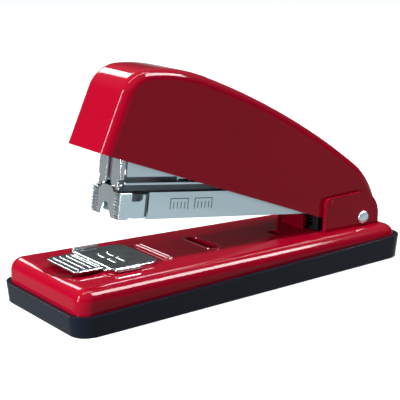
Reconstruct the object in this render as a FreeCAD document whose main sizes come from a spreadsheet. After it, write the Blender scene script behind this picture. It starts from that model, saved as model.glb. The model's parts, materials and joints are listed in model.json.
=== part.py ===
# Desk stapler: pan base in a tray, hinged magazine with a front-loading staple drawer, shell cover.
# Millimetres, +Z up, front (thumb pad and staple exit) towards -X, hinge towards +X, origin at the
# middle of the tray's underside.  Three tilted frames carry most pieces: the deck (the base plate's
# sloping top), the magazine and the cover, the last two with their origins on the hinge pin's axis.
import FreeCAD, Part
import math
import os
import Sketcher
from FreeCAD import Placement, Rotation, Vector

doc = FreeCAD.newDocument("Stapler")
sheet = doc.addObject("Spreadsheet::Sheet", "Sizes")


# ---------- sizes ----------

class Size:
    """A length or angle that knows both its number and its spreadsheet formula."""

    def __init__(self, value, text=None):
        self.value = float(value)
        self.text = text if text else repr(float(value))

    def __add__(self, other):
        return Size(self.value + asSize(other).value, f"({self.text} + {asSize(other).text})")

    def __sub__(self, other):
        return Size(self.value - asSize(other).value, f"({self.text} - {asSize(other).text})")

    def __mul__(self, other):
        return Size(self.value * asSize(other).value, f"({self.text} * {asSize(other).text})")

    def __truediv__(self, other):
        return Size(self.value / asSize(other).value, f"({self.text} / {asSize(other).text})")

    def __neg__(self):
        return Size(-self.value, f"(0 - {self.text})")

    def __radd__(self, other):
        return asSize(other) + self

    def __rsub__(self, other):
        return asSize(other) - self

    def __rmul__(self, other):
        return asSize(other) * self


def asSize(value):
    return value if isinstance(value, Size) else Size(value)


def trig(name, angle):
    """Sine, cosine or tangent of an angle in degrees."""
    return Size(getattr(math, name)(math.radians(angle.value)), f"{name}({angle.text} * 1 deg)")


def root(value):
    return Size(math.sqrt(value.value), f"sqrt({value.text})")


class Sizes:
    """The driving dimensions: one spreadsheet row each, reached as attributes."""

    def __init__(self):
        self.row = 0

    def add(self, **values):
        for name, value in values.items():
            self.row += 1
            sheet.set(f"A{self.row}", name)
            sheet.set(f"B{self.row}", str(value))
            sheet.setAlias(f"B{self.row}", name)
            setattr(self, name, Size(value, f"Sizes.{name}"))


size = Sizes()
# Clearances: shaft in a bore, faces that rest together, sliding sheet, room round a moving piece,
# and how far a cutter reaches past what it cuts.
size.add(runGap=0.05, seatGap=0.05, slideGap=0.2, roomGap=0.4, pastFace=1)
# Staple: half its crown's width, its wire, and the leg's length.
size.add(stapleHalf=6.4, stapleWire=0.5, stapleLeg=6.1)
# Plan of the base, along X: hinge pin to staple exit, and how far the tray reaches past each.
size.add(exitReach=117.6, frontMargin=30.3, hingeMargin=17.1)
# Tray, tapered towards the hinge, its rim rising towards the hinge.
size.add(frontWidth=60.1, rearWidth=49, frontHeight=7.85, rearHeight=9.8, trayCorner=8, trayWall=2,
         trayFloor=2)
# Base plate: height of its top at the middle, slope, sheet, and the rounding of its top edge.
size.add(deckHeight=15.55, deckSlope=1.146, panSheet=1.2, panEdge=5)
# Thumb dish, transverse slot, round hole and stop rib, placed from the staple exit or the pin.
size.add(dishAhead=15.2, dishHalf=12.5, dishDepth=2.2, slotBehind=44.9, slotWidth=6, slotLength=19.6,
         holeAhead=38.4, holeSide=3.3, holeRadius=2.6, ribBehind=20.5, ribLength=22, ribRise=0.6)
# Screws through the tray into posts under the plate.
size.add(screwInset=22.5, screwAhead=35.4, screwSideInset=10.7, screwRadius=1.5,
         screwHead=2.8, screwHeadDepth=1.2, screwLength=9, postWall=1.4)
# Anvil, placed from the staple exit; its slide moves the second pair of grooves under the exit.
size.add(anvilAhead=8.7, anvilBehind=15.2, anvilHalf=12.4, anvilSheet=1.2, shoulderBehind=12.1,
         shoulderHalf=13.9, tailHalf=11.6, wingAhead=6, wingBehind=3.8, wingHalf=15.6, curlRadius=0.75,
         ridgeAhead=6.7, ridgeRadius=0.8, padAhead=20.2, padHalf=11, padRise=0.9, padSheet=1.1,
         grooveDepth=0.5, grooveWidth=1.1, grooveInner=1, grooveShift=4, studBehind=10.3, studRadius=2,
         studHeadWall=1.4, studHeadDepth=0.7, washerWall=3, washerSheet=0.8)
# Hinge pin, and the walls and heads round it.
size.add(pivotHeight=17.9, pinRadius=2, pinHeadWall=0.75, pinHeadDepth=1.3, bushWall=0.75, lugWall=1.4)
# Hinge bracket, placed from the pin: ears, front tongue, embossed dimple, rivets.
size.add(bracketSheet=1.5, earAhead=21.1, earBehind=9.2, earFrontRise=13.9, earBackRise=15.2,
         earFrontRound=2.5, earBackRound=11, tongueAhead=25.3, tongueHalf=6.5, tongueRise=6.4,
         tongueSheet=1.4, dimpleAhead=17.3, dimpleRise=11.3, dimpleRadius=1.8, dimpleHeight=0.4)
size.add(rivetRadius=1, rivetHeadWall=0.6, rivetHeadDepth=0.6, rivetSide=10.2, rivetAhead=5.3,
         rivetBehind=6.2)
# Guide block under the magazine, and the spring in its well that lifts the magazine.
size.add(blockAhead=22.1, blockBehindFront=13.8, blockRise=7.2, blockFloor=1.4,
         liftAhead=15.3, liftRadius=3.4, liftWire=0.9, liftTurns=4)
# Magazine: channel, the track above the staples, and the rivets that join them.
size.add(magazineLift=7.55, channelSetback=12.2, stapleRoom=0.7, channelSheet=0.9, channelBottom=0.7,
         channelTop=11, lugReach=5, tongueRoom=3.2, trackSetback=1, trackBack=12, trackFlange=0.6,
         trackTop=14.8, trackSheet=1, webSheet=0.9, webBottom=11.3, webBack=38, cheekFront=35,
         cheekBottom=3.8, frameRivetFront=31.5, frameRivetBack=26.5, frameRivetRise=7.5)
# Driver housing: folded sheet round the driver, with a slotted face and a foot on the track.
size.add(housingAhead=1.4, housingWall=0.46, housingSheet=0.9, housingBottom=14.5, housingTop=40,
         housingSide=16.9, housingDepth=33, housingShoulder=15, housingLow=6, housingRound=3,
         driverSlotHalf=1.6, driverSlotBottom=16.2, footDepth=6, footSheet=1)
# Drawer: rail, front grip, rod, staples and pusher.
size.add(railRoom=0.5, railBottom=2.4, railTop=9.7, railSheet=0.8, railSetback=0.7, railBack=28,
         railSlotHalf=1.3, gripAhead=2.2, gripFlange=1, gripSheet=1, gripBottom=1, gripTop=12.8,
         gripShoulder=11.2, gripNeck=3.2, notchHalf=4.4, notchTop=6, notchTopHalf=1.2, flangeDepth=4.5,
         flangeStep=12.3, flangeStepBottom=1.8, flangeStepTop=8, gripFloorStart=6.3, gripFloorSheet=0.8)
size.add(rodRadius=0.9, rodRise=6.2, stripLength=51.2, pusherLength=11, pusherSheet=0.75,
         pusherBottom=3.6, pusherEye=2.2, feedWall=0.775, feedWire=0.45, feedTurns=20)
# Driver blade and the lever under the cover whose tip moves it.
size.add(bladeSheet=0.6, bladeRoom=0.1, bladeBottom=15.3, bladeTop=37, windowHalf=1.5, windowTall=3.4,
         leverHalf=4, leverTipHalf=1.2, leverSheet=1.2, leverTip=6.4, leverNeck=5.6, leverBend=9.6,
         leverRise=4.6, leverRoof=77, leverBack=58)
# Cover shell: side outline from the front foot over the nose, crown, back and tail.
size.add(coverLift=21.1, coverHalf=13.5, coverSheet=1.1, coverEdge=4.2, coverBottom=5.2, coverAhead=16.1,
         noseRise=17.4, faceHeading=86.5, noseRadius=13.2, browHeading=20, crownRadius=73,
         crownHeading=-0.8, backHeading=-15.5, tailHeading=-66.6, tailReach=12.6, tailRise=1.3,
         bellyReach=24, heelReach=2, heelDrop=3.4, earGap=0.5)
# Spring that lifts the cover.
size.add(handleReach=46, handleRadius=4.4, handleWire=1.1, handleTurns=7, handleRoom=2.25)

trayLength = size.frontMargin + size.exitReach + size.hingeMargin
pivotBack = trayLength / 2 - size.hingeMargin
channelHalf = size.stapleHalf + size.stapleRoom + size.channelSheet
railHalf = size.stapleHalf - size.stapleWire - size.railRoom
coverInside = size.coverHalf - size.coverSheet
bracketHalf = size.coverHalf + size.earGap + size.bracketSheet
lugRadius = size.pinRadius + size.lugWall
rivetHead = size.rivetRadius + size.rivetHeadWall
studBottom = -size.panSheet - size.seatGap


# ---------- frames and placing ----------

class Frame:
    """A frame tilted about Y; a positive tilt raises the front."""

    def __init__(self, back, height, tilt):
        self.back, self.height, self.tilt = back, height, tilt

    def local(self, x, z):
        """This frame's coordinates of a point given in the whole part's frame."""
        across, up = x - self.back, z - self.height
        sine, cosine = trig("sin", self.tilt), trig("cos", self.tilt)
        return across * cosine - up * sine, across * sine + up * cosine


deck = Frame(Size(0), size.deckHeight, size.deckSlope)
magazine = Frame(pivotBack, size.pivotHeight, size.magazineLift)
cover = Frame(pivotBack, size.pivotHeight, size.coverLift)
pinX, pinZ = deck.local(pivotBack, size.pivotHeight)
exitX = deck.local(pivotBack - size.exitReach, size.deckHeight)[0]
nodes = {}


def bind(item, path, value):
    """Ties a property to a size's formula, or sets it where the value is a plain number."""
    value = asSize(value)
    if "Sizes." in value.text:
        item.setExpression(path, value.text)
    elif path.startswith("Placement.Base."):
        base = Vector(item.Placement.Base)
        setattr(base, path[-1], value.value)
        item.Placement = Placement(base, item.Placement.Rotation)
    else:
        setattr(item, path, value.value)


def moveTo(item, x=0, y=0, z=0):
    for axis, value in zip("xyz", (x, y, z)):
        bind(item, f"Placement.Base.{axis}", value)
    return item


def tilt(item, frame):
    """Places a finished item, or a group of cutters, in a tilted frame."""
    item.Placement = Placement(Vector(), Rotation(Vector(0, 1, 0), frame.tilt.value))
    item.setExpression("Placement.Rotation.Angle", frame.tilt.text)
    return moveTo(item, frame.back, 0, frame.height)


def node(label, item, frame=None):
    """Names a finished sub-part and puts it in its frame."""
    item.Label = label
    nodes[label] = tilt(item, frame) if frame else item


# ---------- shapes ----------

def box(x, y, z):
    """A box between (low, high) pairs."""
    item = doc.addObject("Part::Box", "Block")
    for side, (low, high) in zip(("Length", "Width", "Height"), (x, y, z)):
        bind(item, side, asSize(high) - low)
    return moveTo(item, x[0], y[0], z[0])


def rod(radius, low, high, axis="z", at=(0, 0)):
    """A cylinder along an axis; at gives its other two coordinates in x, y, z order."""
    item = doc.addObject("Part::Cylinder", "Round")
    bind(item, "Radius", radius)
    bind(item, "Height", asSize(high) - low)
    turn = {"x": Rotation(Vector(0, 1, 0), 90), "y": Rotation(Vector(1, 0, 0), -90), "z": Rotation()}
    item.Placement = Placement(Vector(), turn[axis])
    spot = {"x": (low, at[0], at[1]), "y": (at[0], low, at[1]), "z": (at[0], at[1], low)}
    return moveTo(item, *spot[axis])


def fuse(*items):
    item = doc.addObject("Part::MultiFuse", "Joined")
    item.Shapes = list(items)
    item.Refine = True
    return item


def group(*items):
    item = doc.addObject("Part::Compound", "Group")
    item.Links = list(items)
    return item


def cut(base, *tools):
    item = doc.addObject("Part::Cut", "Trimmed")
    item.Base = base
    item.Tool = tools[0] if len(tools) == 1 else group(*tools)
    return item


def both(source):
    """The item and its mirror image on the other side of the middle plane."""
    item = doc.addObject("Part::Mirroring", "Mirror")
    item.Source = source
    item.Normal = Vector(0, 1, 0)
    return source, item


def outline(body, plane, points):
    """A closed sketch, counter-clockwise.  A point is (across, up) or (across, up, radius), where a
    radius makes the edge that leaves the point an arc that bulges outwards."""
    sketch = body.newObject("Sketcher::SketchObject", "Outline")
    support = [face for face in body.Origin.OriginFeatures if face.Role == plane][0]
    sketch.AttachmentSupport = [(support, "")]
    sketch.MapMode = "FlatFace"
    ends = [Vector(asSize(p[0]).value, asSize(p[1]).value, 0) for p in points]
    for index, point in enumerate(points):
        start, end = ends[index], ends[(index + 1) % len(ends)]
        edge = Part.LineSegment(start, end)
        if len(point) > 2:
            chord, radius = end - start, point[2].value
            sag = radius - math.sqrt(radius ** 2 - (chord.Length / 2) ** 2)
            outward = Vector(chord.y, -chord.x, 0).normalize()
            edge = Part.Arc(start, start + chord * 0.5 + outward * sag, end)
        sketch.addGeometry(edge, False)
    for index, point in enumerate(points):
        sketch.addConstraint(Sketcher.Constraint("Coincident", index, 2, (index + 1) % len(points), 1))
        for kind, value in (("DistanceX", asSize(point[0])), ("DistanceY", asSize(point[1]))):
            made = sketch.addConstraint(Sketcher.Constraint(kind, -1, 1, index, 1, value.value))
            bindConstraint(sketch, made, value)
        if len(point) > 2:
            made = sketch.addConstraint(Sketcher.Constraint("Radius", index, point[2].value))
            bindConstraint(sketch, made, point[2])
    return sketch


def bindConstraint(sketch, index, value):
    if "Sizes." in value.text:
        sketch.setExpression(f"Constraints[{index}]", value.text)


def pad(plane, points, thick, offset=None):
    """A body padded from an outline: about its plane, or upwards from an offset."""
    body = doc.addObject("PartDesign::Body", "Profile")
    sketch = outline(body, plane, points)
    feature = body.newObject("PartDesign::Pad", "Pad")
    feature.Profile = sketch
    bind(feature, "Length", thick)
    if offset is None:
        feature.SideType = "Symmetric"
    else:
        sketch.setExpression("AttachmentOffset.Base.z", offset.text)
    return body


def rounded(source, *rounds):
    """A body that starts from source and rounds the edges each chooser picks."""
    body = source
    if source.TypeId != "PartDesign::Body":
        body = doc.addObject("PartDesign::Body", "Rounded")
        body.BaseFeature = source
        body.Placement = source.Placement
        for path, formula in source.ExpressionEngine:
            if "Placement" in path:
                body.setExpression(path, formula)
    doc.recompute()
    for radius, chooser in rounds:
        last = body.Tip if body.Tip else body.Group[0]
        names = [f"Edge{n + 1}" for n, edge in enumerate(body.Shape.Edges) if chooser(edge.BoundBox)]
        if not names:
            raise ValueError(f"no edge to round by {radius.text}")
        feature = body.newObject("PartDesign::Fillet", "Round")
        feature.Base = (last, names)
        bind(feature, "Radius", radius)
        doc.recompute()
    return body


flat = 0.01


def isUpright(edge):
    return edge.ZLength > 1 and edge.XLength < flat and edge.YLength < flat


def nearSide(x, z, room=0.6):
    """A chooser for the straight edge along Y that passes near a point of the side view."""
    def chooser(edge):
        straight = edge.XLength < flat and edge.ZLength < flat and edge.YLength > 1
        return straight and math.hypot(edge.Center.x - x.value, edge.Center.z - z.value) < room

    return chooser


def coil(radius, wire, turns, length):
    """A helical spring of round wire about Z, standing on z = 0."""
    path = doc.addObject("Part::Helix", "Turns")
    bind(path, "Radius", radius)
    bind(path, "Pitch", length / turns)
    bind(path, "Height", length)
    section = doc.addObject("Part::Circle", "Wire")
    bind(section, "Radius", wire / 2)
    section.Placement = Placement(Vector(), Rotation(Vector(1, 0, 0), 90))
    bind(section, "Placement.Base.x", radius)
    item = doc.addObject("Part::Sweep", "Coil")
    item.Sections = [section]
    item.Spine = (path, ["Edge1"])
    item.Solid = True
    item.Frenet = True
    return item


# ---------- base: tray, plate, screws ----------

def halfWidth(x):
    """Half the tray's width at a distance behind the middle."""
    return (size.frontWidth + size.rearWidth) / 4 + (size.rearWidth - size.frontWidth) / 2 * x / trayLength


def rimHeight(x):
    return (size.frontHeight + size.rearHeight) / 2 + (size.rearHeight - size.frontHeight) * x / trayLength


def deckTop(x):
    return size.deckHeight - trig("tan", size.deckSlope) * x


def trayBlock(inset, bottom, top):
    """A block with the tray's tapered plan, inset all round, under a sloping top, corners rounded."""
    reach = trayLength / 2 - inset
    item = doc.addObject("Part::Wedge", "Wedge")
    item.Placement = Placement(Vector(), Rotation(Vector(0, 0, 1), -90))
    bind(item, "Ymin", -reach)
    bind(item, "Ymax", reach)
    for mark, x in (("", -reach), ("2", reach)):
        half = halfWidth(x) - inset
        bind(item, f"X{mark}min", -half)
        bind(item, f"X{mark}max", half)
        bind(item, f"Z{mark}min", bottom)
        bind(item, f"Z{mark}max", top(x))
    return rounded(item, (size.trayCorner - inset, isUpright))


def panBlock(inset, bottom, drop):
    """The base plate's block: rounded corners, then its rounded top edge."""
    block = trayBlock(inset, bottom, lambda x: deckTop(x) - drop)
    belowRim = min(deckTop(trayLength / 2).value, size.deckHeight.value) - drop.value - 1
    return rounded(block, (size.panEdge - drop, lambda edge: edge.ZMin > belowRim))


screwFront, screwBack = size.screwInset - trayLength / 2, pivotBack - size.screwAhead
screwSpots = [(x, side) for x in (screwFront, screwBack)
              for side in (halfWidth(x) - size.screwSideInset, size.screwSideInset - halfWidth(x))]


def makeTray():
    outer = trayBlock(Size(0), Size(0), rimHeight)
    hollow = trayBlock(size.trayWall, size.trayFloor, lambda x: rimHeight(x) + size.trayCorner)
    under, over = -size.pastFace, size.trayFloor + size.pastFace
    holes = [rod(size.screwRadius + size.slideGap, under, over, at=spot) for spot in screwSpots]
    sinks = [rod(size.screwHead + size.slideGap, under, size.screwHeadDepth, at=spot) for spot in screwSpots]
    node("base_tray", cut(cut(cut(outer, hollow), *holes), *sinks))


def makeScrews():
    screws, posts = [], []
    postRadius = size.screwRadius + size.postWall
    for x, y in screwSpots:
        head = rod(size.screwHead, size.slideGap, size.screwHeadDepth, at=(x, y))
        screws.append(fuse(head, rod(size.screwRadius, size.slideGap, size.screwLength, at=(x, y))))
        roof = deckTop(x + postRadius) - size.panSheet
        post = rod(postRadius, size.trayFloor + size.seatGap, roof, at=(x, y))
        posts.append(cut(post, rod(size.screwRadius, size.trayFloor, size.screwLength, at=(x, y))))
    node("tray_screws", group(*screws))
    node("screw_posts", group(*posts))


def dishBall(extra):
    """The sphere that presses the thumb dish, grown by the sheet for its underside."""
    radius = (size.dishHalf * size.dishHalf + size.dishDepth * size.dishDepth) / (size.dishDepth * 2)
    item = doc.addObject("Part::Sphere", "Dish")
    bind(item, "Radius", radius + extra)
    return moveTo(item, exitX - size.dishAhead, 0, radius - size.dishDepth)


def stadium(x, y, radius, low, high):
    """A cutter with round ends between two (low, high) centres, along X or along Y."""
    across = box((x[0] - radius, x[1] + radius), y, (low, high)) if x[0] is x[1] else \
        box(x, (y[0] - radius, y[1] + radius), (low, high))
    return fuse(across, rod(radius, low, high, at=(x[0], y[0])), rod(radius, low, high, at=(x[1], y[1])))


def makeBasePlate():
    inset = size.trayWall + size.slideGap
    outer = panBlock(inset, size.trayFloor + size.seatGap, Size(0))
    inner = panBlock(inset + size.panSheet, Size(0), size.panSheet)
    hollow = cut(inner, tilt(group(dishBall(size.panSheet)), deck))
    skin = cut(cut(outer, tilt(group(dishBall(Size(0))), deck)), hollow)
    low, high = -size.panSheet * 3, size.panSheet * 2
    earSlot = box((pinX - size.earAhead - size.slideGap, pinX + size.earBehind + size.slideGap),
                  (bracketHalf - size.bracketSheet - size.slideGap, bracketHalf + size.slideGap), (low, high))
    slotX, slotEnd = exitX + size.slotBehind, size.slotLength / 2 - size.slotWidth / 2
    studHole = size.studRadius + size.slideGap
    studX = exitX + size.studBehind
    lugRoom, laneHalf = lugRadius + size.roomGap * 2, channelHalf + size.roomGap
    tongueX, tongueSide = pinX - size.tongueAhead, size.tongueHalf + size.slideGap
    cutters = [
        *both(earSlot),
        stadium((slotX, slotX), (-slotEnd, slotEnd), size.slotWidth / 2, low, high),
        stadium((studX - size.grooveShift, studX), (Size(0), Size(0)), studHole, low, high),
        *[rod(size.rivetRadius, low, high, at=spot) for spot in rivetSpots],
        rod(size.holeRadius, low, high, at=(pinX - size.holeAhead, -size.holeSide)),
        rod(size.liftRadius + size.roomGap * 2, low, high, at=liftSpot),
        box((pinX - lugRoom, pinX + lugRoom), (-laneHalf, laneHalf), (low, high)),
        box((tongueX - size.slideGap, tongueX + size.tongueSheet + size.slideGap),
            (-tongueSide, tongueSide), (low, high))]
    rib = rod(size.ribRise, -size.ribLength / 2, size.ribLength / 2, axis="y", at=(exitX + size.ribBehind, 0))
    node("base_plate", fuse(cut(skin, tilt(group(*cutters), deck)), tilt(group(rib), deck)))


# ---------- base: anvil ----------

def makeAnvil():
    """Sheet with curled wings, a ridge, a raised thumb pad and two pairs of forming grooves."""
    low, top = size.seatGap, size.seatGap + size.anvilSheet
    front, ridgeX = exitX - size.anvilAhead, exitX - size.ridgeAhead
    wingFront, wingBack = exitX - size.wingAhead, exitX + size.wingBehind
    side = [(front, size.anvilHalf), (wingFront, size.anvilHalf), (wingFront, size.wingHalf),
            (wingBack, size.wingHalf), (wingBack, size.shoulderHalf),
            (exitX + size.shoulderBehind, size.shoulderHalf), (exitX + size.anvilBehind, size.tailHalf)]
    plate = pad("XY_Plane", [(x, -y) for x, y in side] + side[::-1], size.anvilSheet, offset=low)
    padLow = low + size.padRise
    thumb = box((exitX - size.padAhead, front), (-size.padHalf, size.padHalf),
                (padLow, padLow + size.padSheet))
    riser = box((front, ridgeX), (-size.padHalf, size.padHalf), (low, padLow + size.padSheet))
    ridge = rod(size.ridgeRadius, -size.anvilHalf, size.anvilHalf, axis="y", at=(ridgeX, top))
    curl = rod(size.curlRadius, wingFront, wingBack, axis="x", at=(size.wingHalf, top))
    grooves = []
    for middle in (exitX, exitX + size.grooveShift):
        grooves += both(box((middle - size.grooveWidth / 2, middle + size.grooveWidth / 2),
                            (size.grooveInner, size.stapleHalf + size.grooveDepth),
                            (top - size.grooveDepth, top + size.pastFace)))
    stud = (exitX + size.studBehind, 0)
    studHole = rod(size.studRadius, low - size.pastFace, top + size.pastFace, at=stud)
    node("anvil_slide", cut(fuse(plate, thumb, riser, ridge, *both(curl)), *grooves, studHole), deck)
    washerLow = studBottom - size.washerSheet
    head = rod(size.studRadius + size.studHeadWall, washerLow - size.studHeadDepth, washerLow, at=stud)
    node("anvil_stud", fuse(rod(size.studRadius, washerLow - size.studHeadDepth, top, at=stud), head), deck)
    washer = cut(rod(size.studRadius + size.washerWall, washerLow, studBottom, at=stud),
                 rod(size.studRadius, washerLow - size.pastFace, studBottom + size.pastFace, at=stud))
    node("anvil_washer", washer, deck)


# ---------- base: hinge ----------

rivetSpots = [(x, y) for x in (pinX - size.rivetAhead, pinX + size.rivetBehind)
              for y in (size.rivetSide, -size.rivetSide)]
liftSpot = (pinX - size.liftAhead, 0)


def makeBracket():
    """U of sheet whose floor lies under the base plate; ears and tongue come up through slots."""
    under = -size.panSheet - size.seatGap
    floor = under - size.bracketSheet
    earFront, earBack = pinX - size.earAhead, pinX + size.earBehind
    ears = pad("XZ_Plane", [(earFront, floor), (earBack, floor), (earBack, size.earBackRise),
                            (earFront, size.earFrontRise)], bracketHalf * 2)
    ears = rounded(ears, (size.earFrontRound, nearSide(earFront, size.earFrontRise)),
                   (size.earBackRound, nearSide(earBack, size.earBackRise)))
    inside = bracketHalf - size.bracketSheet
    hollow = box((earFront - size.pastFace, earBack + size.pastFace), (-inside, inside),
                 (under, size.earBackRise + size.pastFace))
    tongueX = pinX - size.tongueAhead
    apron = box((tongueX, earFront + size.pastFace), (-size.tongueHalf, size.tongueHalf), (floor, under))
    tongue = box((tongueX, tongueX + size.tongueSheet), (-size.tongueHalf, size.tongueHalf),
                 (floor, size.tongueRise))
    boss = rod(size.dimpleRadius, inside, bracketHalf + size.dimpleHeight, axis="y",
               at=(pinX - size.dimpleAhead, size.dimpleRise))
    past = bracketHalf + size.pastFace
    pinHole = rod(size.pinRadius, -past, past, axis="y", at=(pinX, pinZ))
    holes = [rod(size.rivetRadius, floor - size.pastFace, under + size.pastFace, at=spot)
             for spot in rivetSpots]
    node("hinge_bracket", cut(fuse(cut(ears, hollow), apron, tongue, *both(boss)), pinHole, *holes), deck)
    rivets = []
    for spot in rivetSpots:
        foot = floor - size.rivetHeadDepth
        heads = [rod(rivetHead, low, low + size.rivetHeadDepth, at=spot) for low in (foot, Size(0))]
        rivets.append(fuse(rod(size.rivetRadius, foot, size.rivetHeadDepth, at=spot), *heads))
    node("bracket_rivets", group(*rivets), deck)


def makePin():
    end = bracketHalf + size.pinHeadDepth
    head = rod(size.pinRadius + size.pinHeadWall, bracketHalf, end, axis="y", at=(pinX, pinZ))
    node("pivot_pin", fuse(rod(size.pinRadius, -end, end, axis="y", at=(pinX, pinZ)), *both(head)), deck)
    low, high = channelHalf + size.slideGap, coverInside - size.slideGap
    bush = cut(rod(size.pinRadius + size.bushWall, low, high, axis="y", at=(pinX, pinZ)),
               rod(size.pinRadius + size.runGap, low - size.pastFace, high + size.pastFace, axis="y",
                   at=(pinX, pinZ)))
    node("spacer_bushes", group(*both(bush)), deck)


def makeGuideBlock():
    front = pinX - size.blockAhead
    back, half = front + size.blockBehindFront, coverInside - size.roomGap * 2
    lane = channelHalf + size.roomGap
    block = box((front, back), (-half, half), (size.seatGap, size.blockRise))
    slot = box((front - size.pastFace, back + size.pastFace), (-lane, lane),
               (size.blockFloor, size.blockRise + size.pastFace))
    well = rod(size.liftRadius + size.roomGap * 2, -size.pastFace, size.blockFloor + size.pastFace,
               at=liftSpot)
    node("guide_block", cut(block, slot, well), deck)


def makeLiftSpring():
    """Stands on the bracket's floor and lifts the magazine's floor."""
    bottom = -size.panSheet
    floorHeight = size.pivotHeight + size.liftAhead * trig("sin", size.magazineLift) + size.channelBottom
    length = floorHeight - deckTop(pivotBack - size.liftAhead) - bottom - size.liftWire - size.roomGap
    spring = coil(size.liftRadius, size.liftWire, size.liftTurns, length)
    moveTo(spring, liftSpot[0], 0, bottom + size.liftWire / 2 + size.seatGap)
    node("return_spring", group(spring), deck)


# ---------- magazine ----------

frameRivetSpots = [(-size.frameRivetFront, size.frameRivetRise), (-size.frameRivetBack, size.frameRivetRise)]


def frameRivetHoles():
    past = channelHalf + size.pastFace
    return [rod(size.rivetRadius, -past, past, axis="y", at=spot) for spot in frameRivetSpots]


def makeChannel():
    """U of sheet, open above; its floor stops short of the staple exit and opens over the tongue."""
    front, past = size.channelSetback - size.exitReach, size.pastFace
    side = pad("XZ_Plane", [
        (front, size.channelBottom), (-size.lugReach * 1.5, size.channelBottom), (0, -lugRadius),
        (0, lugRadius), (-size.lugReach, size.channelTop), (front, size.channelTop)], channelHalf * 2)
    inside = channelHalf - size.channelSheet
    floorTop = size.channelBottom + size.channelSheet
    hollow = box((front - past, lugRadius + past), (-inside, inside), (floorTop, size.channelTop + past))
    rear = box((-size.lugReach - past, lugRadius + past), (-inside, inside),
               (-lugRadius - past, size.channelTop + past))
    tongueAt = -size.tongueAhead
    room = box((tongueAt - size.tongueRoom, tongueAt + size.tongueSheet + size.tongueRoom),
               (-inside, inside), (Size(0), floorTop + past))
    pinHole = rod(size.pinRadius + size.runGap, -channelHalf - past, channelHalf + past, axis="y")
    outer = fuse(side, rod(lugRadius, -channelHalf, channelHalf, axis="y"))
    node("magazine_channel", cut(outer, hollow, rear, room, pinHole, *frameRivetHoles()), magazine)


def makeTrack():
    """The hat section that closes the magazine above the staples, with cheeks riveted inside it."""
    front, under = size.trackSetback - size.exitReach, size.trackTop - size.trackSheet
    lap = size.trackSheet / 2
    half = channelHalf - size.channelSheet + size.trackFlange
    plate = box((front, -size.trackBack), (-half, half), (under, size.trackTop))
    web = box((front, -size.webBack), (size.stapleHalf - size.webSheet, size.stapleHalf),
              (size.webBottom, under + lap))
    inner = size.stapleHalf - size.slideGap
    cheek = box((-size.cheekFront, -size.trackBack), (inner, channelHalf - size.channelSheet),
                (size.cheekBottom, under + lap))
    node("magazine_track", cut(fuse(plate, *both(web), *both(cheek)), *frameRivetHoles()), magazine)
    made = []
    for spot in frameRivetSpots:
        shank = rod(size.rivetRadius, inner - size.rivetHeadDepth, channelHalf + size.rivetHeadDepth,
                    axis="y", at=spot)
        heads = [rod(rivetHead, low, low + size.rivetHeadDepth, axis="y", at=spot)
                 for low in (channelHalf, inner - size.rivetHeadDepth)]
        made += both(fuse(shank, *heads))
    node("frame_rivets", group(*made), magazine)


def makeHousing():
    """Folded sheet in front of the driver: slotted face, two sides and a foot on the track."""
    front, past = -size.exitReach - size.housingAhead, size.pastFace
    face, back = front + size.housingSheet, front + size.housingDepth
    half = size.stapleHalf + size.housingSheet + size.housingWall
    wrap = pad("XZ_Plane", [
        (front, size.housingSide), (back, size.housingSide), (back, size.housingSide + size.housingLow),
        (front + size.housingShoulder, size.housingTop), (front, size.housingTop)], half * 2)
    inside = half - size.housingSheet
    hollow = box((face, back + past), (-inside, inside), (size.housingBottom - past, size.housingTop + past))
    chin = rounded(
        box((front, face), (-half, half), (size.housingBottom, size.housingTop)),
        (size.housingRound, lambda edge: edge.XLength > 0.5 and edge.YLength < flat
         and edge.Center.z < size.housingSide.value))
    slot = box((front - past, face + past), (-size.driverSlotHalf, size.driverSlotHalf),
               (size.driverSlotBottom, size.housingTop + past))
    heelFront, footTop = back - size.footDepth, size.trackTop + size.footSheet
    foot = box((heelFront, back), (-half, half), (size.trackTop, footTop))
    heels = both(box((heelFront, back), (inside, half),
                     (size.trackTop, size.housingSide + size.housingSheet)))
    spot = (back - size.footDepth / 2, 0)
    footHole = rod(size.rivetRadius, size.trackTop - past, footTop + past, at=spot)
    node("driver_housing", cut(fuse(cut(wrap, hollow), chin, foot, *heels), slot, footHole), magazine)
    stud = fuse(rod(size.rivetRadius, size.trackTop, footTop, at=spot),
                rod(rivetHead, footTop, footTop + size.rivetHeadDepth, at=spot))
    node("housing_rivet", stud, magazine)


def roofOver(reach):
    """Height of the underside of the cover's long back arc above a point of the magazine's frame."""
    back, turn = roofArcs()[2], size.coverLift - size.magazineLift
    sine, cosine = trig("sin", turn), trig("cos", turn)
    radius, off = back.radius - size.coverSheet, -reach - back.centre[0] * cosine - back.centre[1] * sine
    return back.centre[1] * cosine - back.centre[0] * sine + root(radius * radius - off * off)


def makeHandleSpring():
    """Stands on the track and lifts the cover; its length follows the roof over its hinge side."""
    roof = roofOver(size.handleReach - size.handleRadius - size.handleWire / 2)
    length = roof - size.trackTop - size.handleWire - size.seatGap - size.handleRoom
    spring = coil(size.handleRadius, size.handleWire, size.handleTurns, length)
    moveTo(spring, -size.handleReach, 0, size.trackTop + size.handleWire / 2 + size.seatGap)
    node("handle_spring", group(spring), magazine)


# ---------- drawer ----------

railFront, railInside = size.railSetback - size.exitReach, railHalf - size.railSheet
railEnd = -size.railBack - size.railSheet


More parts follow.
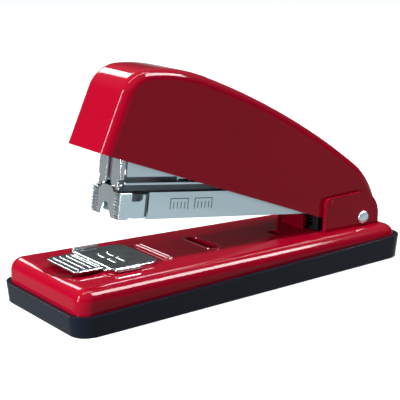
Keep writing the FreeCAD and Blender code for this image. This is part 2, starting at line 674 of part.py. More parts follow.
def makeRail():
    """Upturned channel with closed ends and a slot in its roof, and the rod inside it."""
    past = size.pastFace
    outer = box((railFront, -size.railBack), (-railHalf, railHalf), (size.railBottom, size.railTop))
    hollow = box((railFront + size.railSheet, railEnd), (-railInside, railInside),
                 (size.railBottom - past, size.railTop - size.railSheet))
    slot = box((railFront + size.railSheet * 4, railEnd - size.railSheet),
               (-size.railSlotHalf, size.railSlotHalf),
               (size.railTop - size.railSheet - past, size.railTop + past))
    node("staple_rail", cut(outer, hollow, slot), magazine)
    spine = rod(size.rodRadius, railFront + size.railSheet, railEnd, axis="x", at=(0, size.rodRise))
    node("spring_rod", group(spine), magazine)


def makeGrip():
    """Pressed front plate with a notch, two side flanges and a floor under the rail."""
    front = -size.exitReach - size.gripAhead
    back, half = front + size.gripSheet, channelHalf + size.slideGap * 4.5 + size.gripFlange
    side = [(size.notchTopHalf, size.notchTop), (size.notchHalf, size.gripBottom), (half, size.gripBottom),
            (half, size.gripShoulder), (size.gripNeck, size.gripTop)]
    plate = pad("YZ_Plane", side + [(-y, z) for y, z in side[::-1]], size.gripSheet, offset=front)
    inside = half - size.gripFlange
    near = box((front, back + size.flangeDepth), (inside, half), (size.gripBottom, size.gripShoulder))
    far = box((back, back + size.flangeStep), (inside, half), (size.flangeStepBottom, size.flangeStepTop))
    floorTop = size.railBottom - size.seatGap
    floor = box((front + size.gripFloorStart, back + size.flangeStep), (-half, half),
                (floorTop - size.gripFloorSheet, floorTop))
    node("front_grip", fuse(plate, *both(near), *both(far), floor), magazine)


stripBack = railFront + size.stripLength


def makeStaples():
    """The joined staples astride the rail; the first stands just behind the driver."""
    front = railFront - size.bladeSheet / 2
    leg, top = size.stapleHalf - size.stapleWire, size.railTop + size.seatGap * 2 + size.stapleWire
    bottom = top - size.stapleLeg
    strip = cut(box((front, stripBack), (-size.stapleHalf, size.stapleHalf), (bottom, top)),
                box((front - size.pastFace, stripBack + size.pastFace), (-leg, leg),
                    (bottom - size.pastFace, top - size.stapleWire)))
    node("staple_strip", strip, magazine)


def makePusher():
    """Saddle over the rail with an eye that slides on the rod, and the spring behind the eye."""
    front, past, slip = stripBack + size.slideGap / 2, size.pastFace, size.slideGap / 2
    back, inner, roof = front + size.pusherLength, railHalf + slip, size.railTop + slip
    saddle = cut(box((front, back), (-inner - size.pusherSheet, inner + size.pusherSheet),
                     (size.pusherBottom, roof + size.pusherSheet)),
                 box((front - past, back + past), (-inner, inner), (size.pusherBottom - past, roof)))
    tabHalf, eyeBack = size.railSlotHalf - size.slideGap, front + size.pusherEye
    eyeRadius = size.rodRadius + size.feedWall + size.feedWire / 2
    tab = box((front, eyeBack), (-tabHalf, tabHalf), (size.rodRise, roof + size.pusherSheet / 2))
    eye = rod(eyeRadius, front, eyeBack, axis="x", at=(0, size.rodRise))
    bore = rod(size.rodRadius + size.runGap, front - past, back + past, axis="x", at=(0, size.rodRise))
    node("pusher", cut(fuse(saddle, tab, eye), bore), magazine)
    start = eyeBack + size.feedWire / 2 + size.seatGap
    end = railEnd - size.feedWire / 2 - size.seatGap
    spring = coil(eyeRadius, size.feedWire, size.feedTurns, end - start)
    spring.Placement = Placement(Vector(), Rotation(Vector(0, 1, 0), 90))
    node("pusher_spring", group(moveTo(spring, start, 0, size.rodRise)), magazine)


# ---------- driver and cover ----------

def makeBlade():
    """The window sits where the lever's tip crosses the blade at rest."""
    half, past = size.stapleHalf - size.bladeRoom, size.pastFace
    front, back = -size.exitReach - size.bladeSheet / 2, -size.exitReach + size.bladeSheet / 2
    blade = box((front, back), (-half, half), (size.bladeBottom, size.bladeTop))
    turn = size.coverLift - size.magazineLift
    middle = size.exitReach * trig("tan", turn) + size.leverRise / trig("cos", turn)
    window = box((front - past, back + past), (-size.windowHalf, size.windowHalf),
                 (middle - size.windowTall / 2, middle + size.windowTall / 2))
    node("driver_blade", cut(blade, window), magazine)


class Arc:
    """One stretch of the cover's roof line, turning clockwise from one heading to another."""

    def __init__(self, start, radius, heading, follow):
        self.start, self.radius, self.heading, self.follow = start, radius, heading, follow
        self.centre = (start[0] + radius * trig("sin", heading), start[1] - radius * trig("cos", heading))
        self.end = (self.centre[0] - radius * trig("sin", follow),
                    self.centre[1] + radius * trig("cos", follow))


def roofArcs():
    """Nose, crown, back and tail, each tangent to the one before; the radii of the last two are the
    pair that ends the line at the tail's reach and rise."""
    foot = -size.exitReach - size.coverAhead
    noseX = foot + (size.noseRise + size.coverBottom) / trig("tan", size.faceHeading)
    nose = Arc((noseX, size.noseRise), size.noseRadius, size.faceHeading, size.browHeading)
    crown = Arc(nose.end, size.crownRadius, size.browHeading, size.crownHeading)
    headings = (size.crownHeading, size.backHeading, size.tailHeading)
    sines = [trig("sin", heading) for heading in headings]
    cosines = [trig("cos", heading) for heading in headings]
    backRun, tailRun = sines[0] - sines[1], sines[1] - sines[2]
    backFall, tailFall = cosines[0] - cosines[1], cosines[1] - cosines[2]
    run, fall = size.tailReach - crown.end[0], crown.end[1] - size.tailRise
    scale = backRun * tailFall - tailRun * backFall
    back = Arc(crown.end, (run * tailFall - tailRun * fall) / scale, size.crownHeading, size.backHeading)
    tailRadius = (backRun * fall - run * backFall) / scale
    return nose, crown, back, Arc(back.end, tailRadius, size.backHeading, size.tailHeading)


def coverSection(inset, low):
    """Side outline of the cover, inset all round; low carries it past the open bottom."""
    def inward(point, heading):
        return point[0] + inset * trig("sin", heading), point[1] - inset * trig("cos", heading)

    arcs = roofArcs()
    foot = inward((-size.exitReach - size.coverAhead, -size.coverBottom), size.faceHeading)
    tail = inward(arcs[-1].end, arcs[-1].follow)
    points = [(foot[0], foot[1] - low), (-size.bellyReach, -size.coverBottom - low),
              (-size.heelReach, -size.heelDrop - low)]
    points += [(tail[0], tail[1] - low)] if low.value else []
    points += [(*inward(arc.end, arc.follow), arc.radius - inset) for arc in arcs[::-1]]
    return points + [inward(arcs[0].start, arcs[0].heading)]


def coverBlock(inset, low):
    """A slab with the cover's outline, its face and roof edges rounded."""
    half = size.coverHalf - inset

    def onRim(edge):
        return abs(abs(edge.Center.y) - half.value) < flat and edge.YLength < flat and edge.Center.z > 3

    return rounded(pad("XZ_Plane", coverSection(inset, low), half * 2), (size.coverEdge - inset, onRim))


def makeCover():
    pinHole = rod(size.pinRadius + size.runGap, -size.coverHalf - size.pastFace,
                  size.coverHalf + size.pastFace, axis="y")
    shell = coverBlock(Size(0), Size(0))
    node("handle_cover", cut(shell, coverBlock(size.coverSheet, size.coverBottom), pinHole), cover)


def roofUnder(reach):
    """Height of the underside of the roof's long back arc, less a weld's gap."""
    back = roofArcs()[2]
    radius = back.radius - size.coverSheet
    off = -reach - back.centre[0]
    return back.centre[1] + root(radius * radius - off * off) - size.seatGap


def makeLever():
    """Bent strip spot-welded under the roof; its tip passes through the driver's window."""
    top, bottom = size.leverRise + size.leverSheet / 2, size.leverRise - size.leverSheet / 2
    tip, bend, neck = (-size.exitReach - size.leverTip, size.leverBend - size.exitReach,
                       size.leverNeck - size.exitReach)
    roofFront, roofBack = roofUnder(size.leverRoof), roofUnder(size.leverBack)
    strip = pad("XZ_Plane", [
        (tip, bottom), (bend, bottom), (-size.leverRoof + size.leverSheet, roofFront - size.leverSheet * 1.3),
        (-size.leverBack, roofBack - size.leverSheet), (-size.leverBack, roofBack),
        (-size.leverRoof, roofFront), (bend - size.leverSheet * 0.7, top), (tip, top)], size.leverHalf * 2)
    past = size.pastFace
    side = box((tip - past, neck), (size.leverTipHalf, size.leverHalf + past), (bottom - past, top + past))
    node("driver_lever", cut(strip, *both(side)), cover)


for build in (makeTray, makeScrews, makeBasePlate, makeAnvil, makeBracket, makePin, makeGuideBlock,
              makeLiftSpring, makeChannel, makeTrack, makeHousing, makeHandleSpring, makeRail, makeGrip,
              makeStaples, makePusher, makeBlade, makeCover, makeLever):
    build()
doc.recompute()

# ---------- checks and files ----------

faults = [f"{item.Label}: {item.State}" for item in doc.Objects
          if "Invalid" in item.State or "Error" in item.State]
faults += [f"{label}: bad shape" for label, item in nodes.items()
           if item.Shape.isNull() or not item.Shape.isValid() or not item.Shape.Solids]
if faults:
    raise RuntimeError("; ".join(faults))
os.makedirs("parts", exist_ok=True)
for label, item in nodes.items():
    item.Shape.exportStep(f"parts/{label}.step")
    print(f"{label}: {len(item.Shape.Solids)} solid(s), {item.Shape.Volume:.1f} mm3")
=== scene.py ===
import bpy
import bmesh
import json
import math
from mathutils import Matrix, Vector


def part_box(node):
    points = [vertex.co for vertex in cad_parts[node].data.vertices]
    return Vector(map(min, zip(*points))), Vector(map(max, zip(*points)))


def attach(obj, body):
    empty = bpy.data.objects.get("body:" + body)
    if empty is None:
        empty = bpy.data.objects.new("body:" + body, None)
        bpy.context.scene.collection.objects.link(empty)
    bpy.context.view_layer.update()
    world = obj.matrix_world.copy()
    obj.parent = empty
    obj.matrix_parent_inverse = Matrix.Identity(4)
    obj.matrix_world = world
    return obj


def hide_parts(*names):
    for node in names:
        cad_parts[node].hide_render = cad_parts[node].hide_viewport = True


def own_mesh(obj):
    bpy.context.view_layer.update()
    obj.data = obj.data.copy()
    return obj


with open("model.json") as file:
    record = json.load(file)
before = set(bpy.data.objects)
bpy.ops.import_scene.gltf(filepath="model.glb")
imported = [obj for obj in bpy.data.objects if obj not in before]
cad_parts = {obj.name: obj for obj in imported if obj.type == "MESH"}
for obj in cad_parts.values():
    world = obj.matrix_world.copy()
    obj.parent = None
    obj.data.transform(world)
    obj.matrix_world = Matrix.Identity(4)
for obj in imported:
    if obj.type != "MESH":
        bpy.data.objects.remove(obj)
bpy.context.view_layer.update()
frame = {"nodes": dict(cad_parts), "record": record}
mm = 0.001
record = frame["record"]
joints = {joint["name"]: joint for joint in record["behaviour"]["joints"]}
slotOf = {part["node"]: part["material_slot"] for part in record["subparts"]}
bodyOf = {name: body for body, names in record["behaviour"]["bodies"].items() for name in names}
print("frame loaded:", len(frame["nodes"]), "nodes")


# nodes of a shader or a geometry tree

class Value:
    # a socket that sums and products can be written with
    def __init__(self, nodes, socket):
        self.nodes, self.socket = nodes, socket

    def math(self, operation, left, right):
        return self.nodes.add("ShaderNodeMath", {"operation": operation}, {0: left, 1: right})

    def __add__(self, other): return self.math("ADD", self, other)
    def __radd__(self, other): return self.math("ADD", other, self)
    def __sub__(self, other): return self.math("SUBTRACT", self, other)
    def __rsub__(self, other): return self.math("SUBTRACT", other, self)
    def __mul__(self, other): return self.math("MULTIPLY", self, other)
    def __rmul__(self, other): return self.math("MULTIPLY", other, self)

    def other(self, name):
        return Value(self.nodes, self.socket.node.outputs[name])


class Nodes:
    def __init__(self, tree):
        self.tree = tree

    def add(self, kind, settings=None, values=None, out=0):
        made = self.tree.nodes.new(kind)
        for name, value in (settings or {}).items():
            if name == "stops":
                stops = made.color_ramp.elements
                for index, (place, shade) in enumerate(value):
                    stop = stops[index] if index < len(stops) else stops.new(place)
                    stop.position, stop.color = place, (*shade, 1)
            else:
                setattr(made, name, value)
        for name, value in (values or {}).items():
            self.join(value, made.inputs[name])
        return Value(self, made.outputs[out])

    def join(self, value, socket):
        if isinstance(value, Value):
            self.tree.links.new(value.socket, socket)
        else:
            socket.default_value = value


# camera, lights, world and floor

shot = dict(azimuth=-36.52, elevation=14.628, target=(-8.466, 0, 33.555), distance=472.09, lens=108,
            sensor=36, nearest=0.01, farthest=50)
lights = {
    "keyStrip": dict(place=(-1.0, 0.0, 0.40), aim=(-0.05, 0, 0.04), size=(0.10, 0.70), power=12),
    "topPanel": dict(place=(0.0, -0.10, 1.10), aim=(0, 0, 0.02), size=(1.2, 0.10), power=9),
    "edgeStrip": dict(place=(0.75, -0.56, 0.98), aim=(0.75, 0, 0.02), size=(0.75, 0.50), power=50,
                      gloss=True),
    "backStrip": dict(place=(0.05, 0.85, 0.66), aim=(0.05, 0, 0.03), size=(0.24, 0.35), power=4,
                      gloss=True),
}


def makeCamera():
    turn, lift = math.radians(shot["azimuth"]), math.radians(shot["elevation"])
    back = Vector((math.sin(turn) * math.cos(lift), -math.cos(turn) * math.cos(lift), math.sin(lift)))
    data = bpy.data.cameras.new("camera")
    data.lens, data.sensor_width = shot["lens"], shot["sensor"]
    data.clip_start, data.clip_end = shot["nearest"], shot["farthest"]
    camera = bpy.data.objects.new("camera", data)
    bpy.context.scene.collection.objects.link(camera)
    camera.location = (Vector(shot["target"]) + back * shot["distance"]) * mm
    camera.rotation_mode = "QUATERNION"
    camera.rotation_quaternion = (-back).to_track_quat("-Z", "Y")
    bpy.context.scene.camera = camera


def makeLight(name, place, aim, size, power, gloss=False):
    data = bpy.data.lights.new(name, "AREA")
    data.shape = "RECTANGLE"
    data.size, data.size_y = size
    data.energy = power
    light = bpy.data.objects.new(name, data)
    bpy.context.scene.collection.objects.link(light)
    light.location = place
    light.visible_diffuse = not gloss  # gloss lights only draw highlights
    light.rotation_mode = "QUATERNION"
    light.rotation_quaternion = (Vector(aim) - Vector(place)).to_track_quat("-Z", "Y")


# sky: strength at each height from below to overhead; bright overhead, dark at eye level, and the
# pale table's glow from below, with a slightly cool tint
sky = dict(levels=((0, 0.60), (0.47, 0.53), (0.53, 0.05), (0.66, 0.08), (0.80, 0.40), (1, 0.55)),
           tint=(0.95, 1.0, 1.03))


def makeWorld():
    world = bpy.data.worlds.new("studio")
    bpy.context.scene.world = world
    world.use_nodes = True
    nodes = Nodes(world.node_tree)
    split = nodes.add("ShaderNodeSeparateXYZ", None, {
        0: nodes.add("ShaderNodeTexCoord", out="Generated")})
    stops = [(place, [level * part for part in sky["tint"]]) for place, level in sky["levels"]]
    shade = nodes.add("ShaderNodeValToRGB", {"stops": stops}, {0: split.other("Z") * 0.5 + 0.5})
    nodes.join(shade, world.node_tree.nodes["Background"].inputs["Color"])


table = dict(half=6, shade=0.93, roughness=0.9, glow=0.45)


def makeFloor():
    half, shade = table["half"], table["shade"]
    mesh = bpy.data.meshes.new("floor")
    corners = [(-half, -half, 0), (half, -half, 0), (half, half, 0), (-half, half, 0)]
    mesh.from_pydata(corners, [], [(0, 1, 2, 3)])
    floor = bpy.data.objects.new("floor", mesh)
    bpy.context.scene.collection.objects.link(floor)
    floor.visible_diffuse = floor.visible_glossy = False
    paint = bpy.data.materials.new("paleFloor")
    paint.use_nodes = True
    shader = paint.node_tree.nodes["Principled BSDF"]
    shader.inputs["Base Color"].default_value = (shade, shade, shade, 1)
    shader.inputs["Roughness"].default_value = table["roughness"]
    shader.inputs["Specular IOR Level"].default_value = 0
    shader.inputs["Emission Color"].default_value = (1, 1, 1, 1)
    shader.inputs["Emission Strength"].default_value = table["glow"]
    mesh.materials.append(paint)


makeCamera()
for name, values in lights.items():
    makeLight(name, **values)
makeWorld()
makeFloor()
bpy.context.scene.view_settings.view_transform = "Standard"
bpy.context.scene.view_settings.look = "None"
print("studio made")


# finishes; every pattern is on the piece's own coordinates, in metres

fixedSockets = dict(metallic="Metallic", specular="Specular IOR Level", coat="Coat Weight")


def makeFinish(name, paint, **fixed):
    made = bpy.data.materials.new(name)
    made.use_nodes = True
    nodes = Nodes(made.node_tree)
    shader = made.node_tree.nodes["Principled BSDF"]
    for socket, value in fixed.items():
        shader.inputs[fixedSockets[socket]].default_value = value
    point = nodes.add("ShaderNodeTexCoord", out="Object")
    for socket, value in paint(nodes, point).items():
        nodes.join(value, shader.inputs[socket])
    return made


def cloud(nodes, point, scale, detail=2, stretch=(1, 1, 1)):
    spread = nodes.add("ShaderNodeMapping", None, {"Vector": point, "Scale": stretch})
    return nodes.add("ShaderNodeTexNoise", None, {"Vector": spread, "Scale": scale, "Detail": detail})


def blendOf(nodes, mask, low, high):
    return nodes.add("ShaderNodeMix", {"data_type": "RGBA"}, {0: mask, 6: (*low, 1), 7: (*high, 1)}, 2)


def bumpOf(nodes, height, strength, depth):
    return nodes.add("ShaderNodeBump", None, {"Strength": strength, "Distance": depth, "Height": height})


def enamel(low, high):
    # sprayed paint: a slow drift of colour and a fine orange peel
    def paint(nodes, point):
        drift, peel = cloud(nodes, point, 22, 3), cloud(nodes, point, 620, 1)
        return {"Base Color": blendOf(nodes, drift, low, high), "Roughness": drift * 0.04 + 0.06,
                "Normal": bumpOf(nodes, peel, 0.05, 0.00006)}
    return paint


def moulded(low, high, gloss):
    # moulded plastic or dull ink: a slow drift and a fine grain
    def paint(nodes, point):
        drift, grain = cloud(nodes, point, 35, 3), cloud(nodes, point, 3200, 2)
        return {"Base Color": blendOf(nodes, drift, low, high), "Roughness": drift * 0.12 + gloss,
                "Normal": bumpOf(nodes, grain, 0.12, 0.00005)}
    return paint


def metal(low, high, gloss, stretch, scale=260):
    # drawn or rolled metal: fine streaks along the working direction over a slow cloud
    def paint(nodes, point):
        streak, drift = cloud(nodes, point, scale, 3, stretch), cloud(nodes, point, 60, 2)
        mask = streak * 0.6 + drift * 0.4
        return {"Base Color": blendOf(nodes, mask, low, high), "Roughness": mask * 0.16 + gloss,
                "Normal": bumpOf(nodes, streak, 0.06, 0.00004)}
    return paint


lengthways, allRound = (0.06, 1, 1), (1, 1, 1)
redPaint = enamel((0.34, 0.001, 0.015), (0.41, 0.002, 0.020))
finishes = {
    "red_enamel": makeFinish("redEnamel", redPaint, specular=0.15),
    "pooled_enamel": makeFinish("pooledEnamel", redPaint, specular=0.6, coat=1.0),
    "tray_plastic": makeFinish("trayPlastic", moulded((0.005, 0.009, 0.018), (0.008, 0.013, 0.024), 0.14),
                               specular=0.15),
    "block_plastic": makeFinish("blockPlastic", moulded((0.006, 0.008, 0.012), (0.012, 0.014, 0.018), 0.4),
                                specular=0.4),
    # dark finish: the ink of the printed size marks, and also painted shade behind the grip's knurling and
    # hooks and on the track's webs
    "ink_and_painted_shade": makeFinish("inkAndPaintedShade", moulded((0.10, 0.13, 0.15), (0.16, 0.20, 0.22), 0.4), metallic=0.6),
}
metals = {
    "nickel": ("nickelPlate", (0.48, 0.52, 0.54), (0.66, 0.70, 0.72), 0.12, lengthways),
    "bright_steel": ("zincSheet", (0.64, 0.84, 0.92), (0.78, 0.94, 1.0), 0.26, lengthways),
    "staple_wire": ("stapleWire", (0.55, 0.56, 0.58), (0.72, 0.73, 0.74), 0.22, allRound),
    "spring_steel": ("springSteel", (0.34, 0.35, 0.37), (0.5, 0.5, 0.52), 0.22, allRound),
    "steel_hardware": ("zincHardware", (0.5, 0.5, 0.5), (0.68, 0.68, 0.68), 0.22, allRound),
}
for slot, (name, *look) in metals.items():
    finishes[slot] = makeFinish(name, metal(*look), metallic=1)
print("finishes made:", len(finishes))


# places: the deck and the magazine have tilted frames of their own, in millimetres

def placed(origin, along):
    x, y = Vector(along).normalized(), Vector((0, 1, 0))
    turn = Matrix((x, y, x.cross(y))).transposed().to_4x4()
    return Matrix.Translation(origin) @ turn @ Matrix.Scale(mm, 4)


pin = Vector(joints["magazine_pivot"]["pos_m"])
slope = -Vector(joints["anvil_slide"]["axis"])
deckHigh = 0.01555  # top of the base plate above the desk at its middle, in metres
deck = placed((0, 0, deckHigh), slope)
magazine = placed(pin, joints["drawer_slide"]["axis"])
upright = Matrix.Scale(mm, 4)
exitReach = 117.6  # hinge pin to staple exit, along the magazine
exitX = (deck.inverted() @ (pin - Vector((exitReach * mm, 0, 0)))).x


# mesh code

def joined(*parts):
    whole = bmesh.new()
    for part in parts:
        mesh = bpy.data.meshes.new("part")
        part.to_mesh(mesh)
        whole.from_mesh(mesh)
        bpy.data.meshes.remove(mesh)
    return whole


def moved(part, by=(0, 0, 0), turn=None):
    copy = part.copy()
    if turn:
        bmesh.ops.rotate(copy, verts=copy.verts, matrix=Matrix.Rotation(math.radians(turn[1]), 3, turn[0]))
    bmesh.ops.translate(copy, verts=copy.verts, vec=by)
    return copy


def flipped(part):
    # mirror image on the other side of the middle plane, faces turned back outwards
    copy = part.copy()
    for vert in copy.verts:
        vert.co.y = -vert.co.y
    bmesh.ops.reverse_faces(copy, faces=copy.faces)
    return copy


def bothSides(*parts):
    return joined(*parts, *[flipped(part) for part in parts])


def rectangle(x0, x1, y0, y1, *radius):
    return [(x0, y0, *radius), (x1, y0, *radius), (x1, y1, *radius), (x0, y1, *radius)]


def cornered(points, steps=5):
    # outline whose third values round its corners
    made = []
    for index, point in enumerate(points):
        corner = Vector(point[:2])
        radius = point[2] if len(point) > 2 else 0
        if not radius:
            made.append(corner)
            continue
        before = (Vector(points[index - 1][:2]) - corner).normalized()
        after = (Vector(points[(index + 1) % len(points)][:2]) - corner).normalized()
        half = before.angle(after) / 2
        start, end = corner + before * radius / math.tan(half), corner + after * radius / math.tan(half)
        centre = corner + (before + after).normalized() * radius / math.sin(half)
        for step in range(steps + 1):
            arm = (start - centre).lerp(end - centre, step / steps).normalized()
            made.append(centre + arm * radius)
    return made


def slab(points, low, high, axes="xyz", edge=0.12, steps=2):
    # an outline given thickness, its rims rounded; axes names the outline's two axes and the thickness
    part = bmesh.new()
    order = ["xyz".index(axis) for axis in axes]
    outline = cornered(points)

    def vertex(point, height):
        place = [0, 0, 0]
        for axis, value in zip(order, (*point, height)):
            place[axis] = value
        return part.verts.new(place)

    bottom, top = [vertex(p, low) for p in outline], [vertex(p, high) for p in outline]
    rims = [part.faces.new(bottom), part.faces.new(top)]
    for index in range(len(outline)):
        after = (index + 1) % len(outline)
        part.faces.new((bottom[index], bottom[after], top[after], top[index]))
    bmesh.ops.recalc_face_normals(part, faces=part.faces)
    if edge:
        around = list({rim for face in rims for rim in face.edges})
        bmesh.ops.bevel(part, geom=around, offset=edge, segments=steps, profile=0.5, affect="EDGES",
                        clamp_overlap=True)
    return part


def lathe(profile, steps=32):
    # turned about Z from (radius, height) points
    part = bmesh.new()
    rings = []
    for radius, height in profile:
        if radius < 1e-6:
            rings.append([part.verts.new((0, 0, height))])
            continue
        angles = [2 * math.pi * step / steps for step in range(steps)]
        rings.append([part.verts.new((radius * math.cos(a), radius * math.sin(a), height)) for a in angles])
    for low, high in zip(rings, rings[1:]):
        for step in range(steps):
            after = (step + 1) % steps
            corners = [low[step % len(low)], low[after % len(low)], high[after % len(high)],
                       high[step % len(high)]]
            part.faces.new(list(dict.fromkeys(corners)))
    bmesh.ops.recalc_face_normals(part, faces=part.faces)
    return part


def domed(radius, low, high, crown, steps=6):
    # profile of a stud from low to high with a domed top
    arc = [(radius * math.cos(a), high - crown + crown * math.sin(a))
           for a in (math.pi / 2 * step / steps for step in range(steps + 1))]
    return [(0, low), (radius, low)] + arc[:-1] + [(0, high)]


def bar(length, radius, steps=10):
    # rod along Y with rounded ends, about the origin
    ends = [math.pi / 2 * step / 4 for step in range(5)]
    half = length / 2 - radius
    profile = [(radius * math.sin(a), -half - radius * math.cos(a)) for a in ends]
    profile += [(radius * math.cos(a), half + radius * math.sin(a)) for a in ends]
    profile[0], profile[-1] = (0, -length / 2), (0, length / 2)
    return moved(lathe(profile, steps), turn=("X", -90))


def placeMesh(part, name, place):
    mesh = bpy.data.meshes.new(name)
    part.transform(place)
    part.to_mesh(mesh)
    part.free()
    return mesh


def showPiece(name, mesh, slot, body, replaces=(), sharp=35):
    mesh.materials.clear()
    mesh.materials.append(finishes[slot])
    for face in mesh.polygons:
        face.use_smooth, face.material_index = True, 0
    mesh.set_sharp_from_angle(angle=math.radians(sharp))
    shaded = bpy.data.objects.new("shaded", mesh)  # flat faces stay flat up to their roundings
    bpy.context.scene.collection.objects.link(shaded)
    even = shaded.modifiers.new("even", "WEIGHTED_NORMAL")
    even.keep_sharp, even.weight = True, 100
    mesh = evaluated(shaded)
    piece = bpy.data.objects.new(name, mesh)
    bpy.context.scene.collection.objects.link(piece)
    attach(piece, body)
    if replaces:
        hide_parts(*replaces)
    return piece


def evaluated(piece):
    # plain mesh of a piece's modifiers, which are then gone
    depsgraph = bpy.context.evaluated_depsgraph_get()
    mesh = bpy.data.meshes.new_from_object(piece.evaluated_get(depsgraph))
    bpy.data.objects.remove(piece)
    return mesh


def carve(part, cutters, place, name):
    # cuts one shape out of another, both closed
    whole, tool = (bpy.data.objects.new(label, placeMesh(shape, label, place))
                   for label, shape in ((name, part), (name + "Tool", cutters)))
    for item in (whole, tool):
        bpy.context.scene.collection.objects.link(item)
    cut = whole.modifiers.new("cut", "BOOLEAN")
    cut.object, cut.operation, cut.solver = tool, "DIFFERENCE", "EXACT"
    mesh = evaluated(whole)
    bpy.data.objects.remove(tool)
    return mesh


# geometry nodes: repeats a unit shape in rows, for bars, knurling, rivets, screws, marks and staples

def makeRepeatTree():
    tree = bpy.data.node_groups.new("repeatInRows", "GeometryNodeTree")
    side = tree.interface
    side.new_socket("Unit", in_out="INPUT", socket_type="NodeSocketGeometry")
    for name, kind in (("Count", "Int"), ("Step", "Vector"), ("Rows", "Int"), ("Row step", "Vector"),
                       ("Finish", "Material")):
        side.new_socket(name, in_out="INPUT", socket_type="NodeSocket" + kind)
    side.new_socket("Geometry", in_out="OUTPUT", socket_type="NodeSocketGeometry")
    nodes = Nodes(tree)
    given = nodes.add("NodeGroupInput")
    line, rows = (nodes.add("GeometryNodeMeshLine", {"mode": "OFFSET"},
                            {"Count": given.other(count), "Offset": given.other(step)})
                  for count, step in (("Count", "Step"), ("Rows", "Row step")))
    grid = nodes.add("GeometryNodeRealizeInstances", None, {
        0: nodes.add("GeometryNodeInstanceOnPoints", None, {"Points": rows, "Instance": line})})
    units = nodes.add("GeometryNodeRealizeInstances", None, {
        0: nodes.add("GeometryNodeInstanceOnPoints", None, {"Points": grid, "Instance": given})})
    done = nodes.add("GeometryNodeSetMaterial", None, {"Geometry": units, "Material": given.other("Finish")})
    nodes.join(done, tree.nodes.new("NodeGroupOutput").inputs[0])
    return tree


repeatTree = makeRepeatTree()


def repeated(unit, place, count, step, slot, rows=1, rowStep=(0, 0, 0)):
    # mesh of a unit shape repeated count times by step, in rows; sizes are local millimetres
    piece = bpy.data.objects.new("unit", placeMesh(unit, "unit", place))
    bpy.context.scene.collection.objects.link(piece)
    turn = place.to_3x3()
    modifier = piece.modifiers.new("rows", "NODES")
    modifier.node_group = repeatTree
    values = {"Count": count, "Step": turn @ Vector(step), "Rows": rows, "Row step": turn @ Vector(rowStep),
              "Finish": finishes[slot]}
    for socket in repeatTree.interface.items_tree:
        if socket.in_out == "INPUT" and socket.name in values:
            modifier[socket.identifier] = values[socket.name]
    return evaluated(piece)


def merged(*meshes):
    whole = bmesh.new()
    for mesh in meshes:
        whole.from_mesh(mesh)
    mesh = meshes[0].copy()
    whole.to_mesh(mesh)
    whole.free()
    return mesh


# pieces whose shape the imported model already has: merged, cleaned, edges softened

refining = dict(weld=0.001, flat=0.2, bend=40, sharp=32)


def refine(name, soft, weight=None, shape=None):
    # soft is the edge's width in millimetres; weight and shape are functions of a point
    r = refining
    mesh = frame["nodes"][name].data.copy()
    solid = bmesh.new()
    solid.from_mesh(mesh)
    bmesh.ops.remove_doubles(solid, verts=solid.verts, dist=r["weld"] * mm)
    bmesh.ops.dissolve_limit(solid, angle_limit=math.radians(r["flat"]), verts=solid.verts,
                             edges=solid.edges)
    if shape:
        for vert in solid.verts:
            vert.co = shape(vert.co)
    if weight:
        layer = solid.edges.layers.float.new("bevel_weight_edge")
        for edge in solid.edges:
            edge[layer] = weight((edge.verts[0].co + edge.verts[1].co) / 2, edge)
    solid.to_mesh(mesh)
    solid.free()
    if soft:
        piece = bpy.data.objects.new(name + "Copy", mesh)
        bpy.context.scene.collection.objects.link(piece)
        bevel = piece.modifiers.new("edge", "BEVEL")
        bevel.width, bevel.segments = soft * mm, 3 if weight else 2
        bevel.limit_method = "WEIGHT" if weight else "ANGLE"
        bevel.angle_limit = math.radians(r["bend"])
        bevel.use_clamp_overlap = True
        mesh = evaluated(piece)
    return showPiece(name + "_shown", mesh, slotOf[name], bodyOf[name], [name], r["sharp"])


# tray: walls drafted towards the desk, following its narrowing plan
tray = dict(draft=1.1, soft=0.7, narrowing=0.0925, hold=8)
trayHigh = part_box("base_tray")[1]


def draftTray(point):
    t = tray
    along = point.x / trayHigh[0]
    half = trayHigh[1] * (1 - t["narrowing"] * (1 + along))
    drop = t["draft"] * mm * (1 - min(1, point.z / trayHigh[2]))
    x = point.x - math.copysign(drop * min(1, abs(along)) ** t["hold"], point.x)
    y = point.y - math.copysign(drop * min(1, abs(point.y) / half) ** t["hold"], point.y)
    return Vector((x, y, point.z))


refine("base_tray", tray["soft"], shape=draftTray)

# base plate: the rims of the thumb dish, the slots and the holes are softened, not the big rounding
plate = dict(soft=0.7, dishAhead=15.2, dishRadius=12.5, rim=0.3, dishLevel=0.1, topLevel=0.02,
             smoothAngle=9, rimAngle=40, rimShare=0.75)
deckInverse = deck.inverted()


def plateWeight(point, edge):
    p, local = plate, deckInverse @ point
    if len(edge.link_faces) < 2 or edge.calc_face_angle() < math.radians(p["smoothAngle"]):
        return 0
    fromDish = math.hypot(local.x - exitX + p["dishAhead"], local.y)
    onDish = abs(fromDish - p["dishRadius"]) < p["rim"] and abs(local.z) < p["dishLevel"]
    atTop = abs(local.z) < p["topLevel"] and edge.calc_face_angle() > math.radians(p["rimAngle"])
    return 1.0 if onDish else p["rimShare"] if atTop else 0


refine("base_plate", plate["soft"], weight=plateWeight)

# stop rib of two lines joined at their ends; the slot's raised rim and turned-down lip
extras = dict(ribAt=20.5, ribShift=1.9, ribHalf=11, ribRadius=0.62, ribHigh=0.15, endRadius=0.45,
              endInset=0.4, endHigh=0.02, slotAt=44.9, slotHalf=6.6, slotRadius=2.9, slotWall=0.8,
              slotDeep=2.6, slotTop=0.25, rimWidth=0.8, rimLow=0.3, rimHigh=0.32, rimSoft=0.3, through=9)


